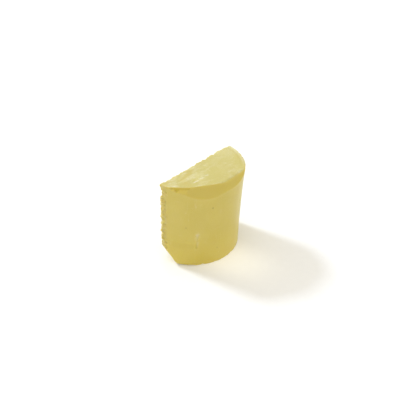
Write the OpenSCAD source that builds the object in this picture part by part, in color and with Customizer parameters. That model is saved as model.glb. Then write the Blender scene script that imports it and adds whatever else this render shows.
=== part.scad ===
// Half of a round cake of cast bow rosin: one bare block of resin with no box, cloth or holder.
// The round was poured into a slightly flared cup, levelled across its mouth and sawn in two
// lengthways. A knife has trimmed the front of the rim, and one foot corner has broken away.
// Z is up and the foot stands on z = 0. The sawn face looks along +Y and the round side along -Y.
// The origin is on the foot plane, in the middle of the block's width and depth.

/* [Cast round] */
// Diameter across the rim
rim_d = 36; // [30:0.5:42]
// Diameter across the foot
foot_d = 34.6; // [30:0.2:36]
// Height from the foot to the level top
height = 31.6; // [26:0.2:40]
// Bands of cone that follow the wall's flare
wall_bands = 8; // [4:1:16]

/* [Saw cut] */
// Distance from the round's axis to the sawn face, half the width of the saw's kerf
saw_offset = 1.1; // [0.2:0.1:3]
// Width of the worn flat on the rear end of the top's straight edge
worn_end = 0.6; // [0.2:0.1:1.5]

/* [Knife facets] */
// Depth of the left facet, measured inwards from the rim across the top
left_facet = 2.3; // [0.5:0.1:3]
// Direction of the left facet round the axis, where -90 is straight ahead
left_turn = -138; // [-145:1:-132]
// Slope of the left facet below the top
left_slope = 42; // [35:1:55]
// Depth of the middle facet, the widest one
middle_facet = 3.2; // [0.5:0.1:4]
// Direction of the middle facet
middle_turn = -123; // [-128:1:-115]
// Slope of the middle facet below the top
middle_slope = 50; // [35:1:60]
// Depth of the right facet
right_facet = 2.4; // [0.5:0.1:3]
// Direction of the right facet
right_turn = -88; // [-95:1:-80]
// Slope of the right facet below the top
right_slope = 45; // [35:1:55]

/* [Broken corner] */
// Height of the break up the corner edge
break_up = 6.8; // [3:0.2:10]
// Angle of the break along the foot's rim, from the sawn face round to the front
break_round = 25; // [12:1:35]
// Length of the break along the foot's straight edge
break_along = 5.4; // [2:0.2:8]

/* [Blowhole] */
// Diameter of the gas pit halfway up the round side
pit_d = 1.6; // [0.6:0.1:2]
// Height of the pit above the foot
pit_z = 12.8; // [8:0.2:18]
// Direction of the pit round the axis
pit_turn = -132.5; // [-145:0.5:-120]

/* [Hidden] */
$fn = 180;
rim_r = rim_d / 2;
foot_r = foot_d / 2;
flare = rim_r - foot_r;
// A cutting solid reaches this far past the block.
past = 60;
// Each facet is [direction round the axis, depth on the top, slope below the top].
facets = [
    [left_turn, left_facet, left_slope],
    [middle_turn, middle_facet, middle_slope],
    [right_turn, right_facet, right_slope],
];
// The wall's foremost point lies straight ahead, where the right facet runs out.
front_r = wall_r(height - right_facet);
// The round's axis stands this far behind the origin.
axis_y = (front_r + saw_offset) / 2;

// Radius of the wall at height z: upright at the foot, flaring towards the rim.
function wall_r(z) = foot_r + flare * pow(z / height, 3);
// Half the width of the sawn face at height z.
function half_width(z) = sqrt(pow(wall_r(z), 2) - pow(saw_offset, 2));
// A point on the wall, as an angle round the axis and a height.
function on_wall(angle, z) = [wall_r(z) * cos(angle), wall_r(z) * sin(angle), z];

// The whole round as it came out of the cup.
module cast_round() {
    wall = [for (i = [0 : wall_bands]) let (z = height * i / wall_bands) [wall_r(z), z]];
    rotate_extrude()
        polygon(concat([[0, 0]], wall, [[0, height]]));
}

// Everything behind the saw cut.
module behind_the_cut() {
    translate([-past, -saw_offset, -past])
        cube([2 * past, past, 3 * past]);
}

// What one stroke of the knife takes off the rim.
module knife_stroke(direction, depth, slope) {
    rotate([0, 0, direction])
        translate([rim_r - depth, 0, height])
            rotate([0, slope, 0])
                translate([-past, -past, 0])
                    cube([2 * past, 2 * past, past]);
}

// The space outside a plane through three points, on the side that the right hand rule gives.
module beyond_plane(a, b, c) {
    n = cross(b - a, c - a);
    turn = atan2(n.y, n.x);
    tilt = acos(n.z / norm(n));
    translate(a)
        rotate([0, tilt, turn])
            translate([-past, -past, 0])
                cube([2 * past, 2 * past, past]);
}

// The wedge that has broken off the left foot corner.
module broken_corner() {
    up_the_edge = [-half_width(break_up), -saw_offset, break_up];
    round_the_rim = on_wall(-180 + break_round, 0);
    along_the_foot = [break_along - half_width(0), -saw_offset, 0];
    beyond_plane(up_the_edge, along_the_foot, round_the_rim);
}

// The upright flat worn on the rear end, where the sawn face meets the wall.
module worn_edge() {
    translate([half_width(height) - worn_end, -saw_offset, -past])
        rotate([0, 0, -45])
            cube([past, past, 3 * past]);
}

// A gas pit that opened on the wall: a blunt cone as wide there as pit_d, a quarter that deep.
module blowhole() {
    translate(on_wall(pit_turn, pit_z))
        rotate([0, 90, pit_turn])
            cylinder(h = pit_d / 2, d1 = pit_d / 2, d2 = 3 * pit_d / 2, center = true);
}

module rosin_cake() {
    color([0.80, 0.72, 0.38])
        translate([0, axis_y, 0])
            difference() {
                cast_round();
                behind_the_cut();
                for (f = facets)
                    knife_stroke(f[0], f[1], f[2]);
                broken_corner();
                worn_edge();
                blowhole();
            }
}

rosin_cake();
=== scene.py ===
"""The looks of a half-round rosin cake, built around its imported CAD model.

The block is sculpted in a distance field that starts from the CAD node's own mesh. Every length
in the sculpting is in millimetres; the finished mesh, the camera and the lights are in metres.
"""

import math

import bpy
import numpy as np
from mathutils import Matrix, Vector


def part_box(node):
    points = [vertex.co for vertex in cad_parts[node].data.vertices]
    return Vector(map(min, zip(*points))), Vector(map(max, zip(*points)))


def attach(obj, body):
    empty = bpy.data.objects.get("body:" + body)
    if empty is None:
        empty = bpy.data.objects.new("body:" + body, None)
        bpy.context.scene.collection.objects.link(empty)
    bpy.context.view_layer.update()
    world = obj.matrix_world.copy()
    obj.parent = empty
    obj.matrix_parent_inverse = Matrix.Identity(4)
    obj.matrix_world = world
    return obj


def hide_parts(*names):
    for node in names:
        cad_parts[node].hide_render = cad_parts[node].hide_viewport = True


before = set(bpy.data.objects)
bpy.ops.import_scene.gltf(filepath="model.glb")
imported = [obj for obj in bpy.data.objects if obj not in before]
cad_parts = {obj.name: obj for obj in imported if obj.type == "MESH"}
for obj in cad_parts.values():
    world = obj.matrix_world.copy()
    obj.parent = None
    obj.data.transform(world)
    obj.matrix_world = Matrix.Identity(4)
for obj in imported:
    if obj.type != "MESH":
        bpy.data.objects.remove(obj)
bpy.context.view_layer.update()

import openvdb
from mathutils import Matrix, Vector

MM = 0.001

# ---------------------------------------------------------------- sizes taken from the frame

NODE = "rosin_cake"
HIGHEST_CORNER = np.array(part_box(NODE)[1]) / MM
HEIGHT = HIGHEST_CORNER[2]
SAWN_Y = HIGHEST_CORNER[1]
# Half the width of the saw's kerf: the round's axis stands this far past the sawn face.
SAW_OFFSET = 1.1
AXIS_Y = SAWN_Y + SAW_OFFSET
RIM_R = math.hypot(HIGHEST_CORNER[0], SAW_OFFSET)
# The cup is a little narrower at the foot than at the rim.
FOOT_SHARE = 17.3 / 18
FOOT_R = RIM_R * FOOT_SHARE

# ---------------------------------------------------------------- places of the marks

# Directions round the axis are in degrees, as in the CAD source: -90 is straight ahead.
MIDDLE_FACET_TURN = -123
RIGHT_FACET_TURN = -88
PIT_TURN = -132.5
PIT_Z = 12.8
# The broken corner starts this high up the left corner edge.
BREAK_UP = 7
# The largest chip under the left end of the rim.
RIM_CHIP_TURN = -156.8
# The saw's blade was set down again each time it had sunk this far.
STEP_GAP = 2.8
# The blade bit into the top's straight edge at this spacing.
BITE_GAP = 4.0
# Depths of the marks on the sawn face.
SCORE_DEPTH = 0.13
STEP_DEPTH = 0.20
TORN_DEPTH = 0.20
BITE_DEPTH = 0.36
# Chips of the undercut: direction, distance below the top, radius, depth.
UNDERCUT_CHIPS = (
    (-158.3, 0.5, 0.45, 0.3),
    (RIM_CHIP_TURN, 0.8, 0.6, 0.35),
    (-155, 0.5, 0.45, 0.3),
    (-146.5, 0.45, 0.4, 0.3),
)
# The plainest scratches in the top, from end to end as x and y.
PLAIN_SCRATCHES = (
    ((-9.8, 1.2), (-7.0, 0.8)),
    ((-7.0, 1.1), (-4.4, 0.6)),
    ((-3.9, 1.0), (-2.3, 0.6)),
)
# Dark grains caught in the resin just under the wall: direction, height, radius, strength.
SPECKS = (
    (-116.4, 24.0, 0.42, 0.55),
    (-145.6, 16.2, 0.5, 0.22),
    (-107.7, 6.4, 0.5, 0.22),
    (-60.0, 11.0, 0.4, 0.4),
    (-25.0, 20.5, 0.45, 0.35),
)

# ---------------------------------------------------------------- the distance field

# The grid's step.
VOXEL = 0.17
# Distances are kept up to this many voxels from the surface.
BAND = 10
# The grid reaches this many voxels past the last distance that is kept.
MARGIN = 3
# The finished mesh has at most this many triangles.
MOST_TRIANGLES = 190000
# The field starts this much outside the CAD solid, which the marks and the softened edges take off.
SKIN = 0.06
# The marks of the saw and the break are deeper, so the field starts further out beside them.
SAWN_SKIN = 0.44
# The finished field is blurred by this many voxels, so no mark has a razor's edge.
SOFTENING = 0.55


def cad_triangles():
    """The CAD node's corner points in millimetres and its triangles."""
    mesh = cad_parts[NODE].data
    mesh.calc_loop_triangles()
    points = np.zeros(len(mesh.vertices) * 3, np.float32)
    mesh.vertices.foreach_get("co", points)
    triangles = np.zeros(len(mesh.loop_triangles) * 3, np.int32)
    mesh.loop_triangles.foreach_get("vertices", triangles)
    return points.reshape(-1, 3).astype(float) / MM, triangles.reshape(-1, 3)


def cad_field():
    """The signed distance to the CAD solid on a regular grid, and the grid's first index."""
    points, triangles = cad_triangles()
    grid = openvdb.FloatGrid.createLevelSetFromPolygons(
        points,
        triangles=triangles.astype(np.uint32),
        transform=openvdb.createLinearTransform(voxelSize=VOXEL),
        halfWidth=BAND,
    )
    first, last = (np.array(corner) for corner in grid.evalActiveVoxelBoundingBox())
    first -= MARGIN
    field = np.full(last - first + 1 + MARGIN, grid.background, np.float32)
    grid.copyToArray(field, ijk=tuple(int(i) for i in first))
    return field, first


FIELD, FIRST = cad_field()
SHAPE = FIELD.shape
GRID = [((FIRST[axis] + np.arange(SHAPE[axis])) * VOXEL).astype(np.float32) for axis in range(3)]
X = GRID[0][:, None, None]
Y = GRID[1][None, :, None]
Z = GRID[2][None, None, :]


def smoothstep(value, start, end):
    """0 before start, 1 after end, and a soft turn between them."""
    t = np.clip((value - start) / (end - start), 0, 1)
    return t * t * (3 - 2 * t)


def spline_weights(places):
    """Cubic B-spline weights that spread values at 0, 1, 2 ... over the given places."""
    count = int(places.max()) + 4
    gap = np.abs(places[:, None] - (np.arange(count)[None, :] - 1))
    near = (4 - 6 * gap**2 + 3 * gap**3) / 6
    far = np.clip(2 - gap, 0, None) ** 3 / 6
    return np.where(gap < 1, near, far).astype(np.float32)


def noise(seed, grain, axes=(0, 1, 2)):
    """Smooth noise over the grid, of mean 0 and deviation 1. Grain is its size in mm along each
    of the axes that it varies along, and it is constant along the others."""
    random = np.random.default_rng(seed)
    weights = [spline_weights((GRID[axis] - GRID[axis][0]) / size) for axis, size in zip(axes, grain)]
    values = random.standard_normal([w.shape[1] for w in weights]).astype(np.float32)
    for place, w in enumerate(weights):
        values = np.moveaxis(np.tensordot(w, values, axes=(1, place)), 0, place)
    values = (values - values.mean()) / values.std()
    return values.reshape([SHAPE[axis] if axis in axes else 1 for axis in range(3)])


def pattern(seed, u, v):
    """Smooth noise of mean 0 and deviation 1 over any two coordinates, with one grain a unit. It
    repeats after 64 units."""
    size = 64
    table = np.random.default_rng(seed).standard_normal((size, size))
    u, v = np.broadcast_arrays(u, v)
    cell_u, cell_v = np.floor(u).astype(int), np.floor(v).astype(int)
    total = 0
    for i, weight_u in enumerate(cubic_weights(u - cell_u)):
        for j, weight_v in enumerate(cubic_weights(v - cell_v)):
            total = total + weight_u * weight_v * table[(cell_u + i) % size, (cell_v + j) % size]
    # Splines blend random numbers of deviation 1 into values of deviation 0.48.
    return (total / 0.48).astype(np.float32)


def cubic_weights(part):
    """The four B-spline weights at this part of the way through a cell."""
    rest = 1 - part
    return (
        rest**3 / 6,
        (4 - 6 * part**2 + 3 * part**3) / 6,
        (4 - 6 * rest**2 + 3 * rest**3) / 6,
        part**3 / 6,
    )


def blurred(values, sigma):
    """The values after a Gaussian blur of sigma voxels."""
    reach = int(math.ceil(3 * sigma))
    offsets = np.arange(-reach, reach + 1)
    kernel = np.exp(-0.5 * (offsets / sigma) ** 2)
    kernel /= kernel.sum()
    for axis in range(3):
        padding = [(reach, reach) if a == axis else (0, 0) for a in range(3)]
        padded = np.pad(values, padding, mode="edge")
        length = values.shape[axis]
        values = sum(
            k * padded.take(range(i, i + length), axis=axis) for i, k in enumerate(kernel)
        ).astype(np.float32)
    return values


def soft_max(a, b, softness):
    """The larger of a and b, rounded where they meet. It intersects two solids."""
    blend = np.clip(0.5 + 0.5 * (a - b) / softness, 0, 1)
    return b + (a - b) * blend + softness * blend * (1 - blend)


def window_around(centre, reach):
    """The part of the grid within reach of a centre along each axis, or None if there is none."""
    window = []
    for axis in range(3):
        inside = np.abs(GRID[axis] - centre[axis]) < reach[axis]
        if not inside.any():
            return None
        found = np.nonzero(inside)[0]
        window.append(slice(found[0], found[-1] + 1))
    return tuple(window)


def carve_ball(field, centre, radius, softness=0.08, stretch=(1, 1, 1)):
    """Takes a ball out of the solid, stretched along each axis and a little rough all over."""
    window = window_around(centre, [radius * share + 4 * VOXEL for share in stretch])
    if window is None:
        return
    away = [
        (values[part] - centre[axis]) / stretch[axis]
        for axis, (values, part) in enumerate(zip(GRID, window))
    ]
    distance = np.sqrt(
        away[0][:, None, None] ** 2 + away[1][None, :, None] ** 2 + away[2][None, None, :] ** 2
    )
    field[window] = soft_max(field[window], radius - distance + CHIP_GRAIN[window], softness)


def sample(values, points):
    """Grid values at points in mm, by straight interpolation."""
    values = np.broadcast_to(values, SHAPE)
    place = points / VOXEL - FIRST
    place = np.clip(place, 0, np.array(SHAPE) - 1.001)
    cell = place.astype(int)
    part = place - cell
    total = 0
    for corner in np.ndindex(2, 2, 2):
        weight = np.prod(np.where(corner, part, 1 - part), axis=1)
        total = total + weight * values[tuple((cell + corner).T)]
    return total


# ---------------------------------------------------------------- sculpting

# How rough the inside of every chip is.
CHIP_GRAIN = 0.05 * noise(11, (0.7, 0.7, 0.7)) + 0.03 * noise(12, (0.45, 0.45, 0.45))


def wall_radius(z):
    """Radius of the wall at height z, with the cup's flare."""
    return FOOT_R + (RIM_R - FOOT_R) * np.clip(z / HEIGHT, 0, 1) ** 3


def turn_of(points):
    """Direction of each point round the axis, in degrees."""
    return np.degrees(np.arctan2(points[:, 1] - AXIS_Y, points[:, 0]))


def on_wall(turn, z):
    """A point on the wall, as a direction in degrees round the axis and a height."""
    angle = math.radians(turn)
    radius = float(wall_radius(z))
    return np.array([radius * math.cos(angle), AXIS_Y + radius * math.sin(angle), z])


def outward(turn):
    """The wall's outward direction."""
    angle = math.radians(turn)
    return np.array([math.cos(angle), math.sin(angle), 0.0])


def half_width(z):
    """Half the width of the sawn face at height z."""
    return float(np.sqrt(wall_radius(z) ** 2 - SAW_OFFSET**2))


def strokes(seed, x, z, tilt):
    """One pass of the saw over the sawn face: how deep each tooth scored it, from 0 to about 1, and
    the step where the blade was set down again."""
    along = z + tilt * x
    score = np.clip(np.abs(pattern(seed + 1, along / 0.38, x / 26)) - 0.35, 0, 1.6) / 1.6
    phase = along / STEP_GAP + 0.12 * pattern(seed + 2, x / 30, z / 5)
    part = phase - np.floor(phase)
    return score, part * smoothstep(part, 1.0, 0.88)


def sawn_marks():
    """The scores and the steps of the sawn face, over x and z. The saw came from two sides, so its
    marks tilt one way above a crooked line and the other way below it."""
    x, z = GRID[0][:, None], GRID[2][None, :]
    lower = smoothstep(z - 0.35 * x - pattern(22, x / 6, z / 6), 11.5, 10.5)
    passes = zip(strokes(23, x, z, 0.02), strokes(27, x, z, -0.09))
    return tuple(first * (1 - lower) + second * lower for first, second in passes)


def sawn_scores():
    """Share of bruised, dusty rosin over the sawn face: along the scores, and in worn patches."""
    x, z = GRID[0][:, None], GRID[2][None, :]
    return sawn_marks()[0] * (0.7 + 0.4 * pattern(32, x / 4, z / 3))


def blade_bites(x, z):
    """Depth of the bites that the blade took out of the top's straight edge."""
    phase = x / BITE_GAP + 0.12 * pattern(33, x / 3, z / 9)
    part = phase - np.floor(phase)
    near_top = smoothstep(z, HEIGHT - 3, HEIGHT - 0.5)
    bites = BITE_DEPTH * part * smoothstep(part, 1.0, 0.9) * near_top
    return bites * smoothstep(x, -17, -15)


def sawn_relief():
    """Depth of the sawn face's marks, over x and z."""
    x, z = GRID[0][:, None], GRID[2][None, :]
    scores, steps = sawn_marks()
    torn = np.clip(pattern(30, x / 1.5, z / 0.8) - 0.9, 0, 1)
    marks = SCORE_DEPTH * scores + STEP_DEPTH * steps + TORN_DEPTH * torn
    drift = 0.03 * pattern(31, x / 11, z / 9)
    return 0.03 + marks + drift + blade_bites(x, z)


def scratch(x, y, start, end, width, depth):
    """Depth of one straight scratch in the top, which fades at both ends."""
    start, end = np.array(start), np.array(end)
    length = np.linalg.norm(end - start)
    way = (end - start) / length
    along = ((x - start[0]) * way[0] + (y - start[1]) * way[1]) / length
    across = (x - start[0]) * way[1] - (y - start[1]) * way[0]
    return depth * np.exp(-((across / width) ** 2)) * smoothstep(1 - np.abs(2 * along - 1), 0, 0.5)


def top_scratches():
    """Depth of the scratches in the top, over x and y: the plain ones, and scattered faint ones."""
    x, y = GRID[0][:, None], GRID[1][None, :]
    random = np.random.default_rng(35)
    total = 0
    for start, end in PLAIN_SCRATCHES:
        total = total + scratch(x, y, start, end, width=0.24, depth=0.13)
    for _ in range(26):
        place = np.array([random.uniform(-15, 13), random.uniform(-5, 7)])
        turn = math.radians(random.normal(-12, 16))
        reach = random.uniform(0.6, 2.2) * np.array([math.cos(turn), math.sin(turn)])
        depth = random.uniform(0.02, 0.07)
        width = random.uniform(0.1, 0.18)
        total = total + scratch(x, y, place - reach, place + reach, width, depth)
    return total


def top_wrinkles():
    """Share of wrinkle over x and y: the skin that the resin drew as it set, crooked and patchy."""
    x, y = GRID[0][:, None], GRID[1][None, :]
    turn = math.radians(-14)
    along = x * math.cos(turn) + y * math.sin(turn) + 1.2 * pattern(36, x / 4, y / 4)
    across = y * math.cos(turn) - x * math.sin(turn) + 0.5 * pattern(37, x / 3, y / 3)
    lines = np.clip(1 - 1.3 * np.abs(pattern(38, along / 2.6, across / 1.2)), 0, 1)
    bumps = smoothstep(pattern(39, along / 1.3, across / 0.8), -0.2, 1.6)
    patch = smoothstep(0.6 * pattern(40, x / 6, y / 4) - x / 6, -0.9, 0.9)
    return patch * (0.7 * lines + 0.6 * bumps)


def meniscus():
    """Where the resin crept up the cup's wall: a low lip inside the right end of the rim, over x
    and y."""
    x, y = GRID[0][:, None], GRID[1][None, :]
    inside = RIM_R - np.hypot(x, y - AXIS_Y)
    lip = smoothstep(inside, 1.25, 0.7) - 0.4 * np.exp(-(((inside - 1.6) / 0.35) ** 2))
    return lip * smoothstep(x, 9, 13)


def top_relief():
    """Depth of the top below the skin, over x and y. It rises a little towards the left tip."""
    x, y = GRID[0][:, None], GRID[1][None, :]
    swell = 0.03 * pattern(34, x / 8, y / 5)
    level = 0.11 - 0.09 * smoothstep(x, -12, -16)
    return level + swell - 0.07 * top_wrinkles() - 0.08 * meniscus() + top_scratches()


def wall_relief():
    """Gentle waves of the cast wall: upright draw marks and the odd shallow dimple."""
    draw = noise(41, (1.6, 1.6, 26))
    waves = noise(42, (5, 5, 4))
    dimples = np.clip(noise(43, (1.0, 1.0, 1.1)) - 2.1, 0, 1)
    return 0.010 * draw + 0.025 * waves + 0.12 * dimples


def chip_edge(field, random, start, end, out, count, radius, depth, spread=0.0):
    """Knocks chips out of a straight edge. Out is the direction that looks away from the block,
    and radius and depth each give the least and the most that a chip has."""
    start, end, out = (np.array(v, float) for v in (start, end, out))
    out /= np.linalg.norm(out)
    for step in range(count):
        share = (step + random.uniform(0.15, 0.85)) / count
        r = random.uniform(*radius)
        deep = random.uniform(*depth)
        away = out + random.normal(0, 0.25, 3)
        away /= np.linalg.norm(away)
        place = start + (end - start) * share + random.normal(0, spread, 3)
        carve_ball(field, place + away * (r - deep), r)


def chip_wall(field, random, count, turns, heights, radius, depth):
    """Shallow flakes out of the wall within the given directions and heights."""
    for _ in range(count):
        turn = random.uniform(*turns)
        z = random.uniform(*heights)
        r = random.uniform(*radius)
        deep = random.uniform(*depth)
        carve_ball(field, on_wall(turn, z) + outward(turn) * (r - deep), r)


def chip_left_edge(field, random):
    """The left corner edge: a scallop at each step of the saw, and crumbs all the way down."""
    top = (-half_width(HEIGHT), SAWN_Y, HEIGHT - 1.0)
    foot = (-half_width(BREAK_UP), SAWN_Y, BREAK_UP)
    chip_edge(field, random, top, foot, (-1, 1, 0), 9, (1.3, 2.2), (0.13, 0.31))
    chip_edge(field, random, top, foot, (-1, 0.4, 0), 26, (0.5, 1.0), (0.07, 0.18), spread=0.25)


def chip_other_edges(field, random):
    """The right corner edge, the top's straight edge and the foot's straight edge."""
    top_left = (1 - half_width(HEIGHT), SAWN_Y, HEIGHT)
    top_right = (half_width(HEIGHT), SAWN_Y, HEIGHT)
    foot_left = (-11, SAWN_Y, 0)
    foot_right = (half_width(0), SAWN_Y, 0)
    chip_edge(field, random, top_right, foot_right, (1, 1, 0), 12, (0.8, 1.8), (0.15, 0.4))
    chip_edge(field, random, top_left, top_right, (0, 1, 1), 10, (0.8, 1.4), (0.14, 0.34))
    chip_edge(field, random, top_left, top_right, (0, 1, 0.3), 24, (0.35, 0.7), (0.08, 0.2), spread=0.2)
    chip_edge(field, random, foot_left, foot_right, (0, 1, -1), 14, (0.7, 1.5), (0.12, 0.4))


def chip_edges(field):
    """The chips along every edge of the block."""
    random = np.random.default_rng(7)
    chip_left_edge(field, random)
    chip_other_edges(field, random)
    # A grainy strip of flakes runs down the wall beside the left corner edge.
    chip_wall(field, random, 90, (-177, -168), (5, HEIGHT - 1), (0.5, 0.9), (0.04, 0.09))
    # Nicks in the rim and in the foot's rim.
    chip_wall(field, random, 7, (-75, -5), (HEIGHT - 0.2, HEIGHT + 0.2), (0.5, 1.0), (0.1, 0.2))
    chip_wall(field, random, 12, (-150, -5), (-0.1, 0.2), (0.5, 1.1), (0.04, 0.11))


def towards_an_end(random):
    """A random share from -1 to 1 that mostly falls near one of the ends."""
    return math.sin(random.uniform(-1.57, 1.57))


def flake_sawn(field):
    """Shell-shaped flakes that the saw's teeth lifted out of the sawn face near its edges. The
    nearer to an edge, the larger they are."""
    random = np.random.default_rng(9)
    half = 17.5
    for _ in range(44):
        x = half * towards_an_end(random)
        z = HEIGHT * (0.5 + 0.49 * towards_an_end(random))
        near = max(abs(x) / half, abs(2 * z / HEIGHT - 1))
        if near < 0.88:
            continue
        radius = random.uniform(0.5, 0.9) + 1.6 * near**4
        depth = random.uniform(0.10, 0.20) + 0.25 * near**4
        stretch = (random.uniform(1.0, 2.0), 1, random.uniform(0.6, 1.1))
        carve_ball(field, (x, SAWN_Y + radius - depth, z), radius, stretch=stretch)


def undercut(field):
    """The break under the left end of the rim, which leaves the rim as a thin lip."""
    radius = 0.30
    for turn in np.arange(-162.5, -142.5, 0.8):
        below = 0.36 + 0.05 * math.sin(2.3 * turn)
        depth = 0.30 + 0.08 * math.sin(1.7 * turn)
        place = on_wall(turn, HEIGHT - below) + outward(turn) * (radius - depth)
        carve_ball(field, place, radius, softness=0.03)
    for turn, below, radius, depth in UNDERCUT_CHIPS:
        place = on_wall(turn, HEIGHT - below) + outward(turn) * (radius - depth)
        carve_ball(field, place, radius, softness=0.03)


def blowhole(field):
    """The gas pit on the wall and the shallow run that trails down from it, as a row of balls that
    get smaller on the way down."""
    start = PIT_Z + 0.1
    length = 4.8
    for share in np.linspace(0, 1, 16):
        z = start - length * share
        radius = 1.15 - 0.75 * share**0.5
        depth = 0.24 - 0.14 * share**0.5
        turn = PIT_TURN + 0.7 * math.sin(5 * share)
        place = on_wall(turn, z) + outward(turn) * (radius - depth)
        carve_ball(field, place, radius, softness=0.04)


def cad_faces():
    """Outward direction and area of each of the CAD node's triangles, and its middle."""
    points, triangles = cad_triangles()
    corners = points[triangles]
    normals = np.cross(corners[:, 1] - corners[:, 0], corners[:, 2] - corners[:, 0])
    area = np.linalg.norm(normals, axis=1)
    return normals / np.maximum(area, 1e-9)[:, None], area, corners.mean(1)


def mean_plane(normals, area, middles):
    """One plane through several faces: a point on it and its outward direction."""
    normal = (normals * area[:, None]).sum(0)
    centre = (middles * area[:, None]).sum(0) / area.sum()
    return centre, normal / np.linalg.norm(normal)


def break_plane():
    """The plane of the broken corner: the CAD faces that look down and out at the -X end."""
    normals, area, middles = cad_faces()
    broken = (normals[:, 0] < -0.25) & (normals[:, 2] < -0.25) & (area > 1e-6)
    return mean_plane(normals[broken], area[broken], middles[broken])


def facet_plane(turn):
    """The plane of the knife facet that faces this direction round the axis."""
    normals, area, middles = cad_faces()
    faces = np.degrees(np.arctan2(normals[:, 1], normals[:, 0]))
    # The facets slope by 42 to 50 degrees, so their outward directions rise by 0.64 to 0.74.
    sloping = np.abs(normals[:, 2] - 0.65) < 0.2
    facet = sloping & (np.abs(faces - turn) < 5) & (area > 1e-6)
    return mean_plane(normals[facet], area[facet], middles[facet])


def beyond(centre, normal):
    """How far each place in the grid lies outside a plane."""
    return (X - centre[0]) * normal[0] + (Y - centre[1]) * normal[1] + (Z - centre[2]) * normal[2]


def ease_facets(field):
    """Rounds the right facet off into the top and into the middle facet, as a drawn knife does. A
    plane halfway between two faces, set a little way in from the corner where all three meet,
    takes the edge off."""
    on_middle, middle = facet_plane(MIDDLE_FACET_TURN)
    on_right, right = facet_plane(RIGHT_FACET_TURN)
    up = np.array([0.0, 0.0, 1.0])
    corner = np.linalg.solve([middle, right, up], [middle @ on_middle, right @ on_right, HEIGHT])
    for other, depth in ((middle, 0.32), (up, 0.26)):
        between = right + other
        between /= np.linalg.norm(between)
        field = soft_max(field, beyond(corner, between) + depth, 0.35)
    return field


def break_relief():
    """Depth of the broken corner's shell-like ripples, which spread from where the blow fell."""
    blow = (-half_width(0) - 1.5, SAWN_Y + 1.0, 2.5)
    spread = np.sqrt((X - blow[0]) ** 2 + (Y - blow[1]) ** 2 + (Z - blow[2]) ** 2)
    rings = 0.15 * np.abs(np.sin(1.9 * spread + 0.8 * noise(51, (3, 3, 3))))
    rough = 0.04 * noise(52, (1.2, 1.2, 1.2))
    bowl = np.clip(0.15 - 0.02 * (spread - 5) ** 2, 0, 1)
    return rings + rough + bowl - SAWN_SKIN


def skin_depth():
    """How far outside the CAD solid the field starts at each place: further out beside the sawn
    face and at the broken corner."""
    skin = SKIN + (SAWN_SKIN - SKIN) * smoothstep(Y, SAWN_Y - 2.2, SAWN_Y - 0.4)
    broken_corner = smoothstep(X, -10, -13) * smoothstep(Z, 10, 7)
    return np.maximum(skin, SAWN_SKIN * broken_corner)


def cut_faces(field):
    """The block with its flat faces cut: sawn face, top, broken corner, left tip and foot."""
    # The right end of the sawn face's edges is worn round.
    worn = 0.06 + 1.9 * smoothstep(X, 15.0, 17.4)
    field = soft_max(field, Y - (SAWN_Y + SAWN_SKIN - sawn_relief()[:, None, :]), worn)
    field = soft_max(field, Z - (HEIGHT + SKIN - top_relief()[:, :, None]), 0.08)
    field = soft_max(field, beyond(*break_plane()) + break_relief(), 0.06)
    # The tip of the rim's left end is nipped off.
    field = soft_max(field, -half_width(HEIGHT) - X, 0.1)
    # The foot's rim is blunt, most of all beside the broken corner.
    blunt = 0.15 + 1.1 * smoothstep(X, -11, -13)
    return soft_max(field, 0.02 * np.abs(noise(61, (3, 3), (0, 1))) - Z, blunt)


def sculpt(smooth):
    """The finished distance field, from the field of the block with no marks on it."""
    field = cut_faces(smooth - skin_depth() + wall_relief()).astype(np.float32)
    chip_edges(field)
    flake_sawn(field)
    undercut(field)
    blowhole(field)
    return blurred(field, SOFTENING)


def level_mesh(field):
    """The field's surface as points in mm and four-sided faces."""
    grid = openvdb.FloatGrid(float(BAND * VOXEL))
    grid.transform = openvdb.createLinearTransform(voxelSize=VOXEL)
    grid.gridClass = openvdb.GridClass.LEVEL_SET
    grid.copyFromArray(np.ascontiguousarray(field), ijk=tuple(int(i) for i in FIRST))
    points, quads = grid.convertToQuads(isovalue=0)
    return points, quads[:, ::-1]


def field_normals(field, points):
    """Outward directions at points, from the field's slope."""
    slopes = np.gradient(field)
    normals = np.stack([sample(s, points) for s in slopes], axis=1)
    return normals / np.linalg.norm(normals, axis=1, keepdims=True)


def add_mask(mesh, name, values):
    """A number at each point of the mesh, which the material reads by name."""
    attribute = mesh.attributes.new(name, "FLOAT", "POINT")
    attribute.data.foreach_set("value", np.clip(values, 0, 1).astype(np.float32))


def dust_and_pit_light_share(points, sawn, top):
    """How much white lies at each point, from 0 to 1: rosin dust in the top's wrinkles and scratches
    and along the saw's scores, and a painted highlight in the gas pit and its run, which lifts them out
    of their own shade."""
    x, y, z = GRID[0][:, None], GRID[1][None, :], GRID[2]
    rear = smoothstep(x, 6, 14) * smoothstep(y, 0, 4)
    on_top = 0.07 + 0.24 * top_wrinkles() + 3.0 * top_scratches() + 0.12 * meniscus() + 0.08 * rear
    on_saw = 0.11 + 0.10 * sawn_scores() + 0.02 * pattern(33, x / 3, z / 3)
    turn = turn_of(points)
    head = np.exp(-(((turn - PIT_TURN) / 2.2) ** 2) - ((points[:, 2] - PIT_Z) / 1.3) ** 2)
    run = np.exp(-(((turn - PIT_TURN - 0.5) / 1.2) ** 2) - ((points[:, 2] - 10.4) / 2.6) ** 4)
    # A painted highlight: the gas pit and its run are whitened against the shade that their depth gives
    # them.
    painted_pit_highlight = (0.26 * head + 0.10 * run) * (1 - sawn) * (1 - top)
    total = top * sample(on_top[:, :, None], points) + sawn * sample(on_saw[:, None, :], points)
    return total + painted_pit_highlight


def strip_share(points, sawn):
    """Where the wall is grainy, beside the left corner edge, from 0 to 1."""
    turn = turn_of(points)
    return smoothstep(turn, -166, -171) * (turn < 0) * (1 - sawn)


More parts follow.
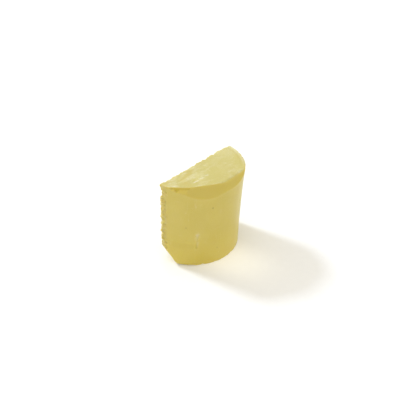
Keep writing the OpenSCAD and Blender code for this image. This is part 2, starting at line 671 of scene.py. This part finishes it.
def handled_share(points, sawn):
    """Where fingers have rubbed the wall dull: patches of its right half, from 0 to 1."""
    patch = smoothstep(sample(noise(71, (5, 5, 6)), points), -0.6, 1.2)
    return (0.25 + 0.75 * patch) * smoothstep(turn_of(points), -54, -40) * (1 - sawn)


def undercut_shade_share(points):
    """Painted shade of the undercut at each point, from 0 to 1, with the deeper tone of the fresh
    break: a line below the lip, and a chip.
    """
    turn = turn_of(points)
    below = HEIGHT - points[:, 2]
    length = smoothstep(turn, -165, -161) * smoothstep(turn, -141.5, -144)
    line = np.exp(-(((below - 0.30) / 0.24) ** 2)) * length
    chip = smoothstep(below + 0.28 * np.abs(turn - RIM_CHIP_TURN), 1.5, 1.1) * (below > 0.2)
    return np.maximum(line, chip)


def facet_share(points, normals):
    """Where the knife trimmed the rim, from 0 to 1: high, sloping, and not looking back or right."""
    nx, ny, nz = normals.T
    near_rim = smoothstep(points[:, 2], HEIGHT - 6, HEIGHT - 5)
    sloping = smoothstep(nz, 0.2, 0.4) * (1 - smoothstep(nz, 0.84, 0.93))
    return sloping * near_rim * smoothstep(-ny, -0.3, 0.0) * smoothstep(-nx, -0.55, -0.35)


def cut_share(points, field, smooth, sawn, top):
    """How deep each point lies in a chip, from 0 to 1. On the sawn face, what counts is the depth
    below the saw's own marks."""
    cut = sample(field - smooth, points)
    on_rest = (cut - 0.05) / 0.3 * (1 - sawn) * (1 - top)
    below_marks = cut - sample(sawn_relief()[:, None, :], points) + SAWN_SKIN
    on_saw = (below_marks - 0.16) / 0.12 * sawn
    return np.clip(on_rest, 0, 1) + np.clip(on_saw, 0, 1)


def mesh_points(mesh):
    """The mesh's points in millimetres."""
    points = np.zeros(len(mesh.vertices) * 3, np.float32)
    mesh.vertices.foreach_get("co", points)
    return points.reshape(-1, 3).astype(float) / MM


def add_masks(mesh, field, smooth):
    """The numbers that tell the material what each point of the surface has been through."""
    points = mesh_points(mesh)
    normals = field_normals(field, points)
    sawn = smoothstep(normals[:, 1], 0.45, 0.85)
    top = smoothstep(normals[:, 2], 0.80, 0.95)
    # Dust, with the painted highlight of the gas pit.
    add_mask(mesh, "dust_and_pit_light", dust_and_pit_light_share(points, sawn, top))
    # Painted shade under the lip, with the fresh break's deeper tone.
    add_mask(mesh, "undercut_shade", undercut_shade_share(points))
    add_mask(mesh, "strip", strip_share(points, sawn))
    add_mask(mesh, "handled", handled_share(points, sawn))
    add_mask(mesh, "sawn", sawn)
    add_mask(mesh, "top", top)
    add_mask(mesh, "facet", facet_share(points, normals))
    add_mask(mesh, "cut_depth", cut_share(points, field, smooth, sawn, top))
    # An outer edge stands out of its own blurred copy.
    add_mask(mesh, "edge", sample(blurred(field, 3.0) - field, points) / 0.25)


def thinned(mesh):
    """An object of the mesh with at most MOST_TRIANGLES triangles, fewest where it is flattest."""
    cake = bpy.data.objects.new("rosin_block", mesh)
    bpy.context.scene.collection.objects.link(cake)
    triangles = 2 * len(mesh.polygons)
    if triangles > MOST_TRIANGLES:
        modifier = cake.modifiers.new("thin", "DECIMATE")
        modifier.ratio = MOST_TRIANGLES / triangles
        graph = bpy.context.evaluated_depsgraph_get()
        cake.data = bpy.data.meshes.new_from_object(cake.evaluated_get(graph))
        cake.modifiers.clear()
    return cake


def build_cake():
    """The block of rosin as one closed mesh with its masks."""
    smooth = ease_facets(FIELD)
    field = sculpt(smooth)
    points, quads = level_mesh(field)
    mesh = bpy.data.meshes.new("cake")
    mesh.from_pydata((points * MM).tolist(), [], quads.tolist())
    cake = thinned(mesh)
    mesh = cake.data
    mesh.polygons.foreach_set("use_smooth", np.ones(len(mesh.polygons), bool))
    add_masks(mesh, field, smooth)
    mesh.validate()
    mesh.update()
    return cake


# ---------------------------------------------------------------- material

# Colours of the rosin's parts and marks, as linear red, green, blue and opacity.
WALL_DARK = (0.596, 0.489, 0.108, 1)
WALL_LIGHT = (0.616, 0.510, 0.124, 1)
# Painted shade where the table shades the wall: the wall's colour at the foot.
PAINTED_FOOT_SHADE = (0.655, 0.523, 0.078, 1)
TOP = (0.505, 0.438, 0.110, 1)
SAWN = (0.420, 0.325, 0.055, 1)
FRESH = (0.640, 0.522, 0.116, 1)
FLAKED = (0.47, 0.355, 0.050, 1)
GRAINY = (0.550, 0.450, 0.125, 1)
# Painted shade under the left lip, with the deeper tone of the fresh break.
UNDERCUT_SHADE = (0.50, 0.37, 0.025, 1)
BUBBLE = (0.42, 0.33, 0.05, 1)
SPECK = (0.22, 0.16, 0.05, 1)
# White of the dust, also used for the painted highlight in the gas pit.
DUST_AND_PIT_LIGHT = (0.88, 0.86, 0.72, 1)
BLACK = (0.0, 0.0, 0.0, 1)
WHITE = (1.0, 1.0, 1.0, 1)
# What the block does to the light that passes through it.
SHADOW_TINT = (1.0, 0.87, 0.60, 1)


class Nodes:
    """Short calls for building a node tree."""

    def __init__(self, material):
        material.use_nodes = True
        self.tree = material.node_tree
        self.tree.nodes.clear()

    def new(self, kind, **settings):
        """A node of this kind with these settings."""
        node = self.tree.nodes.new(kind)
        for name, value in settings.items():
            setattr(node, name, value)
        return node

    def link(self, source, target):
        """Feeds a socket from another one, or sets it to a plain value."""
        if isinstance(source, bpy.types.NodeSocket):
            self.tree.links.new(source, target)
        else:
            target.default_value = source

    def mask(self, name):
        """One of the numbers that add_masks keeps at each point."""
        return self.new("ShaderNodeAttribute", attribute_name=name).outputs["Fac"]

    def math(self, operation, a, b=0.0, clamp=False):
        """One step of arithmetic."""
        node = self.new("ShaderNodeMath", operation=operation, use_clamp=clamp)
        self.link(a, node.inputs[0])
        self.link(b, node.inputs[1])
        return node.outputs[0]

    def times(self, *values):
        """All the values multiplied together."""
        total = values[0]
        for value in values[1:]:
            total = self.math("MULTIPLY", total, value)
        return total

    def plus(self, *values):
        """All the values added up."""
        total = values[0]
        for value in values[1:]:
            total = self.math("ADD", total, value)
        return total

    def ramp(self, value, start, end, low=0.0, high=1.0):
        """A soft turn from low at start to high at end."""
        node = self.new("ShaderNodeMapRange", interpolation_type="SMOOTHSTEP")
        for socket, number in zip(node.inputs[:5], (value, start, end, low, high)):
            self.link(number, socket)
        return node.outputs[0]

    def mix(self, share, a, b):
        """Colour a, with this share of colour b. The node's sockets 6 and 7 are the two colours."""
        node = self.new("ShaderNodeMix", data_type="RGBA")
        self.link(share, node.inputs[0])
        self.link(a, node.inputs[6])
        self.link(b, node.inputs[7])
        return node.outputs[2]

    def place(self):
        """Each place's own coordinates in metres, in the frame of the CAD model."""
        return self.new("ShaderNodeTexCoord").outputs["Object"]

    def axes(self):
        """The same coordinates as three numbers."""
        split = self.new("ShaderNodeSeparateXYZ")
        self.link(self.place(), split.inputs[0])
        return split.outputs

    def grain(self, per_mm, stretch=(1, 1, 1), detail=3.0, roughness=0.5):
        """Noise with this many grains a millimetre, squeezed along each axis by stretch."""
        mapping = self.new("ShaderNodeMapping")
        self.link(self.place(), mapping.inputs["Vector"])
        mapping.inputs["Scale"].default_value = [s / MM * per_mm for s in stretch]
        node = self.new("ShaderNodeTexNoise")
        self.link(mapping.outputs[0], node.inputs["Vector"])
        node.inputs["Scale"].default_value = 1.0
        node.inputs["Detail"].default_value = detail
        node.inputs["Roughness"].default_value = roughness
        return node.outputs["Fac"]

    def hairlines(self, per_mm, stretch, width, patch):
        """Thin scratches along the levels of a stretched noise, in patches of the surface."""
        off_line = self.math("ABSOLUTE", self.math("SUBTRACT", self.grain(per_mm, stretch, 1.0), 0.5))
        line = self.ramp(off_line, 0.0, width, 1.0, 0.0)
        return self.times(line, self.ramp(self.grain(0.25, detail=2), patch, patch + 0.15))


def speck_share(n):
    """Darkness of the grains that were caught in the resin."""
    total = 0.0
    for turn, z, radius, strength in SPECKS:
        near = n.new("ShaderNodeVectorMath", operation="DISTANCE")
        n.link(n.place(), near.inputs[0])
        near.inputs[1].default_value = on_wall(turn, z) * MM
        spot = n.ramp(near.outputs["Value"], 0.3 * radius * MM, radius * MM, strength, 0.0)
        total = n.plus(spot, total)
    return total


def bubble_share(n):
    """Pin-prick bubbles just under the surface, a few in every square centimetre."""
    cells = n.new("ShaderNodeTexVoronoi")
    n.link(n.place(), cells.inputs["Vector"])
    cells.inputs["Scale"].default_value = 0.33 / MM
    picked = n.new("ShaderNodeSeparateColor")
    n.link(cells.outputs["Color"], picked.inputs[0])
    dots = n.ramp(cells.outputs["Distance"], 0.03, 0.09, 1.0, 0.0)
    return n.times(dots, n.math("GREATER_THAN", picked.outputs[0], 0.55))


def fresh_share(n):
    """Where the surface was cut or chipped, and is still clean and clear."""
    return n.math("ADD", n.times(n.mask("facet"), 0.75), n.times(n.mask("cut_depth"), 0.5), True)


def clear_colour(n, fresh):
    """The rosin's colour with no dust on it, with painted shade low on the wall and under the lip."""
    cloud = n.ramp(n.grain(0.10, detail=2), 0.35, 0.65)
    # Painted shade: the wall grows deeper and less blue towards the foot, where the table shades it.
    low = n.ramp(n.axes()["Z"], 0.0, 18.0 * MM, 0.55, 0.0)
    grains = n.ramp(n.grain(1.6, (1, 1, 0.45), 4), 0.35, 0.65, 0.25)
    colour = n.mix(cloud, WALL_DARK, WALL_LIGHT)
    colour = n.mix(low, colour, PAINTED_FOOT_SHADE)
    colour = n.mix(n.times(n.mask("top"), 0.9), colour, TOP)
    colour = n.mix(n.times(n.mask("sawn"), 0.8), colour, SAWN)
    colour = n.mix(fresh, colour, FRESH)
    colour = n.mix(n.times(n.mask("cut_depth"), n.mask("sawn"), 0.7), colour, FLAKED)
    colour = n.mix(n.times(n.mask("strip"), grains), colour, GRAINY)
    # Painted shade under the lip, with the fresh break's deeper tone.
    return n.mix(n.times(n.mask("undercut_shade"), 0.6), colour, UNDERCUT_SHADE)


def white_share(n, fresh):
    """How much of the colour is hidden by white: dust, scuffs, tooth marks and rubbed patches, and the
    painted highlight in the gas pit.
    """
    powder = n.ramp(n.grain(1.8, detail=4, roughness=0.6), 0.3, 0.7)
    fine = n.ramp(n.grain(5.0, detail=3, roughness=0.6), 0.40, 0.62)
    handled = n.mask("handled")
    teeth = n.math(
        "MAXIMUM",
        n.hairlines(1.6, (0.03, 1, 1), 0.05, 0.30),
        n.hairlines(2.6, (0.025, 1, 1), 0.05, 0.35),
    )
    # The dust mask also carries the painted highlight of the gas pit.
    white = n.plus(
        n.times(n.mask("dust_and_pit_light"), n.plus(n.times(powder, 0.7), 0.65)),
        n.times(n.mask("edge"), powder, 0.06),
        n.times(n.hairlines(0.55, (1, 1, 0.06), 0.006, 0.42), 0.10),
        n.times(n.hairlines(0.45, (0.10, 0.10, 1.6), 0.006, 0.50), 0.10),
        n.times(n.hairlines(0.9, (1, 1, 0.5), 0.008, 0.36), handled, 0.22),
        n.times(fine, handled, 0.07),
        n.times(teeth, n.mask("sawn"), 0.07),
        n.times(fine, 0.045),
    )
    return n.math("MULTIPLY", white, n.math("SUBTRACT", 1.0, n.times(fresh, 0.9)), True)


def surface_bump(n):
    """The finest roughness: a fine grain, upright draw marks, and tooth marks on the sawn face."""
    drawn = n.times(n.grain(2.0, (1, 1, 0.08)), 0.6)
    sawing = n.times(n.grain(2.2, (0.03, 1, 1)), n.mask("sawn"), 1.6)
    bump = n.new("ShaderNodeBump")
    n.link(n.plus(n.grain(3.0, detail=4), n.plus(drawn, sawing)), bump.inputs["Height"])
    bump.inputs["Strength"].default_value = 0.35
    bump.inputs["Distance"].default_value = 0.05 * MM
    return bump.outputs[0]


def surface_roughness(n, white, fresh):
    """Satin where it is clear, matt under the dust, a little shinier on fresh cuts."""
    handling = n.ramp(n.grain(0.3, detail=3), 0.35, 0.65, -0.06, 0.08)
    shine = n.plus(n.times(fresh, 0.10), n.times(handling, n.mask("handled")))
    return n.math("SUBTRACT", n.ramp(white, 0.0, 0.6, 0.36, 0.8), shine)


def rosin_shader(n):
    """The surface, with light scattering under it."""
    fresh = fresh_share(n)
    white = white_share(n, fresh)
    colour = n.mix(white, clear_colour(n, fresh), DUST_AND_PIT_LIGHT)
    colour = n.mix(n.times(bubble_share(n), 0.35), colour, BUBBLE)
    colour = n.mix(speck_share(n), colour, SPECK)
    shader = n.new("ShaderNodeBsdfPrincipled")
    n.link(colour, shader.inputs["Base Color"])
    n.link(surface_roughness(n, white, fresh), shader.inputs["Roughness"])
    n.link(surface_bump(n), shader.inputs["Normal"])
    shader.subsurface_method = "RANDOM_WALK"
    shader.inputs["IOR"].default_value = 1.53
    shader.inputs["Specular IOR Level"].default_value = 0.28
    shader.inputs["Subsurface Weight"].default_value = 1.0
    shader.inputs["Subsurface Radius"].default_value = (1.0, 0.85, 0.45)
    shader.inputs["Subsurface Scale"].default_value = 0.6 * MM
    return shader.outputs[0]


def light_through(n):
    """The light that gets through the block to its shadow. It goes in by the sawn face and the top,
    and most of it comes out in the middle of the wall, which gathers it like a lens, and low down,
    where it has the least way to spread. A shadow ray meets the surface twice, so nothing is taken
    from it where the light goes in."""
    x, y, z = (n.axes()[name] for name in "XYZ")
    off_middle = n.math("ABSOLUTE", n.plus(x, 1.5 * MM))
    middle = n.ramp(off_middle, 2.0 * MM, 15.0 * MM, 1.0, 0.0)
    low = n.ramp(z, 1.0 * MM, 21.0 * MM, 0.70, 0.03)
    everywhere = n.ramp(z, 2.0 * MM, 12.0 * MM, 0.10, 0.20)
    way_in = n.math(
        "MAXIMUM",
        n.math("GREATER_THAN", y, (SAWN_Y - 0.6) * MM),
        n.math("GREATER_THAN", z, (HEIGHT - 0.3) * MM),
    )
    share = n.math("MAXIMUM", n.plus(n.times(middle, low), everywhere), way_in)
    tint = n.mix(way_in, SHADOW_TINT, WHITE)
    through = n.new("ShaderNodeBsdfTransparent")
    n.link(n.mix(share, BLACK, tint), through.inputs["Color"])
    return through.outputs[0]


def rosin_material():
    """Rosin, which looks solid and lets some light through to its shadow."""
    material = bpy.data.materials.new("rosin")
    n = Nodes(material)
    either = n.new("ShaderNodeMixShader")
    n.link(n.new("ShaderNodeLightPath").outputs["Is Shadow Ray"], either.inputs[0])
    n.link(rosin_shader(n), either.inputs[1])
    n.link(light_through(n), either.inputs[2])
    output = n.new("ShaderNodeOutputMaterial")
    n.link(either.outputs[0], output.inputs["Surface"])
    return material


def floor_material():
    """A plain white table top with the faintest mottling."""
    material = bpy.data.materials.new("table")
    n = Nodes(material)
    shader = n.new("ShaderNodeBsdfPrincipled")
    grain = n.ramp(n.grain(0.4), 0.3, 0.7)
    n.link(n.mix(grain, (0.89, 0.89, 0.89, 1), (0.9, 0.9, 0.9, 1)), shader.inputs["Base Color"])
    shader.inputs["Roughness"].default_value = 0.9
    shader.inputs["Specular IOR Level"].default_value = 0.0
    output = n.new("ShaderNodeOutputMaterial")
    n.link(shader.outputs[0], output.inputs["Surface"])
    return material


# ---------------------------------------------------------------- stage, light and camera


def direction(azimuth, elevation):
    """Unit direction from the object: azimuth 0 is towards -Y and 90 towards +X, in degrees."""
    a, e = math.radians(azimuth), math.radians(elevation)
    return Vector((math.sin(a) * math.cos(e), -math.cos(a) * math.cos(e), math.sin(e)))


def build_floor():
    """A table top just under the foot, so that the two never share a plane."""
    half = 1.5
    corners = [(-half, -half, 0), (half, -half, 0), (half, half, 0), (-half, half, 0)]
    mesh = bpy.data.meshes.new("floor")
    mesh.from_pydata(corners, [], [(0, 1, 2, 3)])
    mesh.materials.append(floor_material())
    floor = bpy.data.objects.new("floor", mesh)
    floor.location.z = -0.02 * MM
    bpy.context.scene.collection.objects.link(floor)


def build_light():
    """A warm, even studio, and a cool soft lamp from behind the sawn face that casts the shadow."""
    world = bpy.data.worlds.new("studio")
    world.use_nodes = True
    background = world.node_tree.nodes["Background"]
    background.inputs["Color"].default_value = (1.0, 0.973, 0.912, 1)
    background.inputs["Strength"].default_value = 0.93
    bpy.context.scene.world = world
    key = bpy.data.lights.new("key", "AREA")
    key.shape = "DISK"
    key.size = 0.20
    key.energy = 8.8
    key.color = (0.83, 0.89, 1.0)
    lamp = bpy.data.objects.new("key", key)
    towards = direction(190, 42)
    lamp.location = towards * 1.2
    lamp.rotation_euler = towards.to_track_quat("Z", "Y").to_euler()
    bpy.context.scene.collection.objects.link(lamp)


def build_camera():
    """A camera at 240 mm, 34.5 degrees up and 50.8 degrees round to the left, rolled 2.4 degrees."""
    azimuth, elevation, roll = math.radians(-50.77), math.radians(34.51), math.radians(2.41)
    distance = 240 * MM
    back = Vector((math.sin(azimuth), -math.cos(azimuth), 0)) * math.cos(elevation)
    back.z = math.sin(elevation)
    level_right = Vector((math.cos(azimuth), math.sin(azimuth), 0))
    level_up = back.cross(level_right)
    right = level_right * math.cos(roll) + level_up * math.sin(roll)
    up = level_up * math.cos(roll) - level_right * math.sin(roll)
    # The view is aimed a little to the right of the round's axis and above its middle.
    aside, above = 2.84 * MM, 0.16 * MM
    target = Vector((0, AXIS_Y, HEIGHT / 2)) * MM + aside * level_right + above * level_up
    turn = Matrix((right, up, back)).transposed()
    camera = bpy.data.objects.new("camera", bpy.data.cameras.new("camera"))
    camera.data.sensor_width = 36
    camera.data.lens = 60.3
    camera.data.clip_start = 0.01
    camera.matrix_world = Matrix.Translation(target + back * distance) @ turn.to_4x4()
    bpy.context.scene.collection.objects.link(camera)
    bpy.context.scene.camera = camera


# ---------------------------------------------------------------- the whole scene

build_camera()
build_floor()
build_light()
cake = build_cake()
cake.data.materials.append(rosin_material())
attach(cake, "root")
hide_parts(NODE)
bpy.context.scene.view_settings.view_transform = "Standard"
